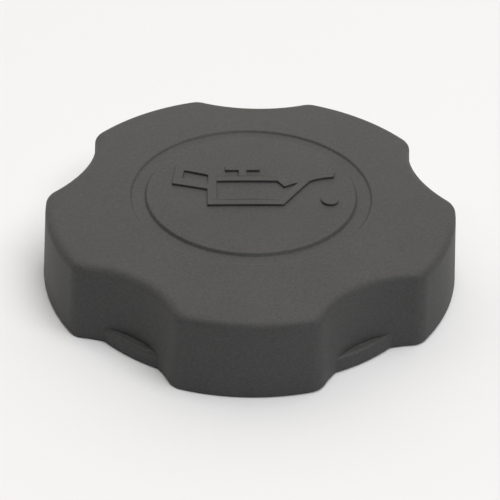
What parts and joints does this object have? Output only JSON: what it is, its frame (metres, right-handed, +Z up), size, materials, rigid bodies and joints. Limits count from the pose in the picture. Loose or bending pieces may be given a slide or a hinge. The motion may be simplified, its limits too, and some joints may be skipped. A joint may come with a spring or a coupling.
{
  "type": "oil filler cap",
  "caption": "Black moulded oil filler cap with a lobed finger grip, a ring groove on its crowned top, a bayonet spigot inside its skirt and a flat rubber seal.",
  "frame": {"origin": "middle of the foot, the plane that the rim of the skirt and the collar stand on, on the cap's own axis", "axes": "+Z up along the cap's axis out of its top, -Y towards the viewer through the middle of one lobe, +X to the viewer's right"},
  "size_m": [0.0688, 0.067, 0.015],
  "materials": {
    "cap_plastic": "fine spark-eroded grain, matt",
    "seal_rubber": "moulded, satin"
  },
  "bodies": {
    "root": {"cap_body": "cap_plastic", "seal_ring": "seal_rubber"}
  },
  "joints": []
}
